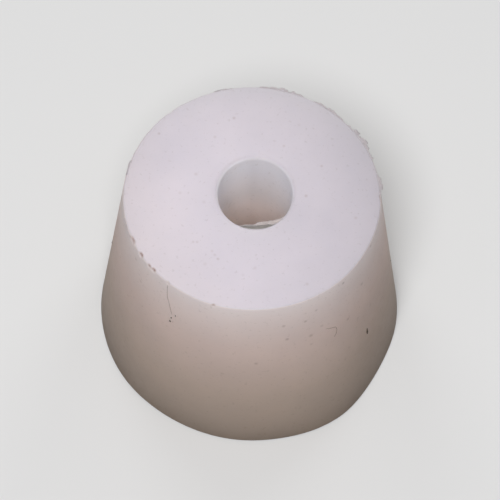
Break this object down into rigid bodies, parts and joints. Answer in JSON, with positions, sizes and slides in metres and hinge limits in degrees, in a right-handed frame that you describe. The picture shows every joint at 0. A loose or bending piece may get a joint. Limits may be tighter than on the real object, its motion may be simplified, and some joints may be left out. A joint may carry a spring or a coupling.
{
  "type": "rubber stopper",
  "caption": "Tapered silicone rubber stopper with one straight hole along its axis, standing on its wide end.",
  "frame": {"origin": "centre of the wide end, on the surface the stopper stands on", "axes": "+Z along the taper and the hole, from the wide end up to the narrow end"},
  "size_m": [0.041, 0.041, 0.03],
  "materials": {
    "silicone": "satin, milky and slightly translucent"
  },
  "bodies": {
    "root": {"stopper": "silicone"}
  },
  "joints": []
}
